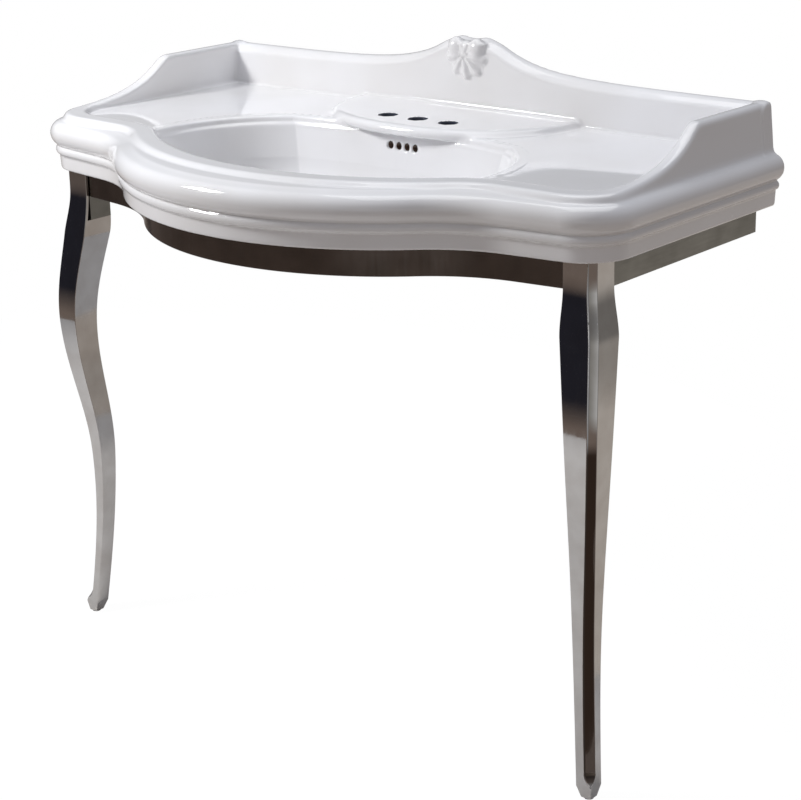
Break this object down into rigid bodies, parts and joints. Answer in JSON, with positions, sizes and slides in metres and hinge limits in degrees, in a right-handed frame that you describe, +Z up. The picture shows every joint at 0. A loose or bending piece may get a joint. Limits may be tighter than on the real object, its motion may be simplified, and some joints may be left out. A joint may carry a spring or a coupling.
{
  "type": "console basin with metal legs",
  "caption": "Wide one-piece ceramic basin with a shaped backsplash on a metal wall frame with curved front legs.",
  "frame": {"origin": "on the floor, under the middle of the bounding box", "axes": "+Z up, +X to the right seen from the front, +Y towards the wall"},
  "size_m": [1.0594, 0.5938, 0.931],
  "materials": {
    "glaze": "white gloss glaze",
    "polished_steel": "mirror polished",
    "rail_steel": "satin",
    "pad_rubber": "matt",
    "glide_nylon": "matt",
    "bolt_steel": "zinc plated"
  },
  "bodies": {
    "root": {"basin": "glaze", "front_apron": "polished_steel", "left_side_rail": "rail_steel", "right_side_rail": "rail_steel", "rear_rail": "rail_steel", "left_rail_end_plate": "rail_steel", "right_rail_end_plate": "rail_steel", "left_corner_block": "rail_steel", "right_corner_block": "rail_steel", "cushion_pads": "pad_rubber", "left_leg": "polished_steel", "right_leg": "polished_steel", "left_foot_glide": "glide_nylon", "right_foot_glide": "glide_nylon", "leg_bolts": "bolt_steel", "leg_washers": "bolt_steel"}
  },
  "joints": []
}
